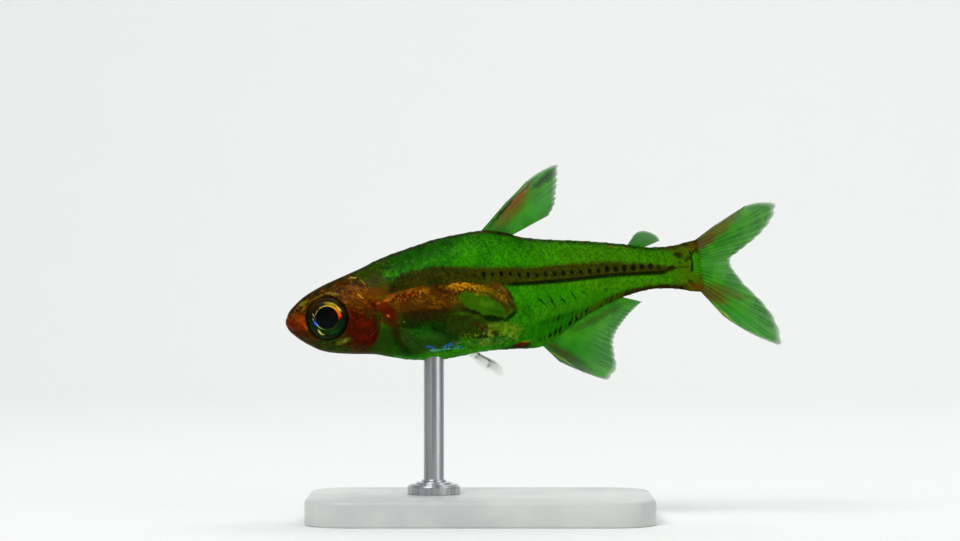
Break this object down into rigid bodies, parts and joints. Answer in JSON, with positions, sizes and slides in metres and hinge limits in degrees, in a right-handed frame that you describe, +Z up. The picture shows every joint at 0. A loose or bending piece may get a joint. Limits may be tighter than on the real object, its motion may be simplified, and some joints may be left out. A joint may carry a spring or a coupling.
{
  "type": "ember tetra",
  "caption": "Life-size still model of a small swimming aquarium fish with raised fin rays, held on a thin rod over a flat display base",
  "frame": {"origin": "centre of the underside of the stand's base", "axes": "+X runs the length of the fish from head to tail, +Y across it towards its right flank, +Z up; the base rests on the plane z = 0"},
  "size_m": [0.0244, 0.01, 0.0175],
  "materials": {
    "skin": "wet, slightly translucent fish skin, olive green to orange",
    "eye": "polished, clear over a dark pupil and a gold iris",
    "fin": "thin translucent membrane over fine rays",
    "stand": "smooth pale cast plastic, softly polished"
  },
  "bodies": {
    "root": {"head": "skin", "torso": "skin", "tail": "skin", "eye_left": "eye", "eye_right": "eye", "dorsal_fin": "fin", "adipose_fin": "fin", "anal_fin": "fin", "caudal_fin_upper": "fin", "caudal_fin_lower": "fin", "pectoral_fin_left": "fin", "pectoral_fin_right": "fin", "pelvic_fin_left": "fin", "pelvic_fin_right": "fin", "stand_base": "stand", "stand_rod": "stand"}
  },
  "joints": []
}
